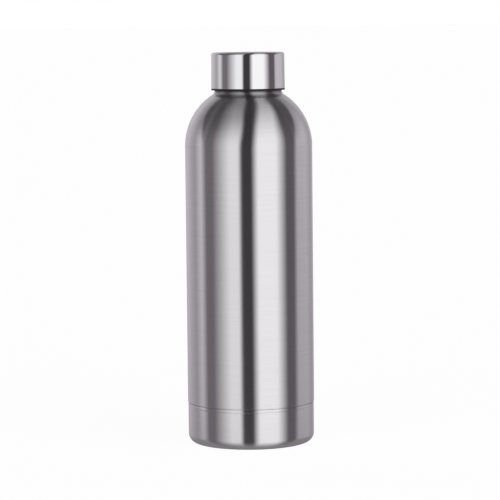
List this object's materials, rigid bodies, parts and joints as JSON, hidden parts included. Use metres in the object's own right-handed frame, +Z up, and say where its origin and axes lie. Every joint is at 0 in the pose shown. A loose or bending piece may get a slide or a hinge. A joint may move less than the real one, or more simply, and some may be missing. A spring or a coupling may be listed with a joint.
{
  "type": "insulated water bottle",
  "caption": "Double-wall steel vacuum bottle with domed shoulder, narrow neck and a screw-in stopper lid under a polished steel cap.",
  "frame": {"origin": "bottom centre: on the bottle's axis, in the plane that it stands on", "axes": "+Z up along the bottle's axis, from the base to the lid"},
  "size_m": [0.0692, 0.0692, 0.2132],
  "materials": {
    "brushed_steel": "brushed round the body",
    "plain_steel": "satin, as drawn",
    "polished_steel": "polished",
    "copper": "bright copper foil",
    "getter_alloy": "pressed metal powder, matte",
    "solder_glass": "fused, opaque grey-green",
    "black_plastic": "fine moulded satin",
    "white_foam": "bead foam, matte",
    "adhesive": "cured adhesive, dull",
    "silicone": "translucent silicone, satin"
  },
  "bodies": {
    "bottle": {"outer_shell": "brushed_steel", "base_cup": "brushed_steel", "base_disc": "brushed_steel", "vacuum_seal_bead": "solder_glass", "inner_liner": "plain_steel", "inner_base": "plain_steel", "copper_foil": "copper", "getter_pellet": "getter_alloy", "getter_clip": "plain_steel"},
    "lid_seals": {"mouth_gasket": "silicone"},
    "lid": {"lid_shell": "polished_steel", "lid_core": "black_plastic", "lid_foam": "white_foam", "lid_inner_cover": "black_plastic", "lid_glue_pad": "adhesive"}
  },
  "joints": [
    {"name": "lid_lift", "type": "slide", "parent": "bottle", "child": "lid_seals", "axis": [0, 0, 1], "range_m": [0, 0.03]},
    {"name": "lid_turn", "type": "hinge", "parent": "lid_seals", "child": "lid", "pos_m": [0, 0, 0.1929], "axis": [0, 0, 1], "range_deg": [0, 1350]}
  ],
  "couplings": [
    {"joint": "lid_lift", "follows": "lid_turn", "m_per_rad": 0.0012732}
  ]
}
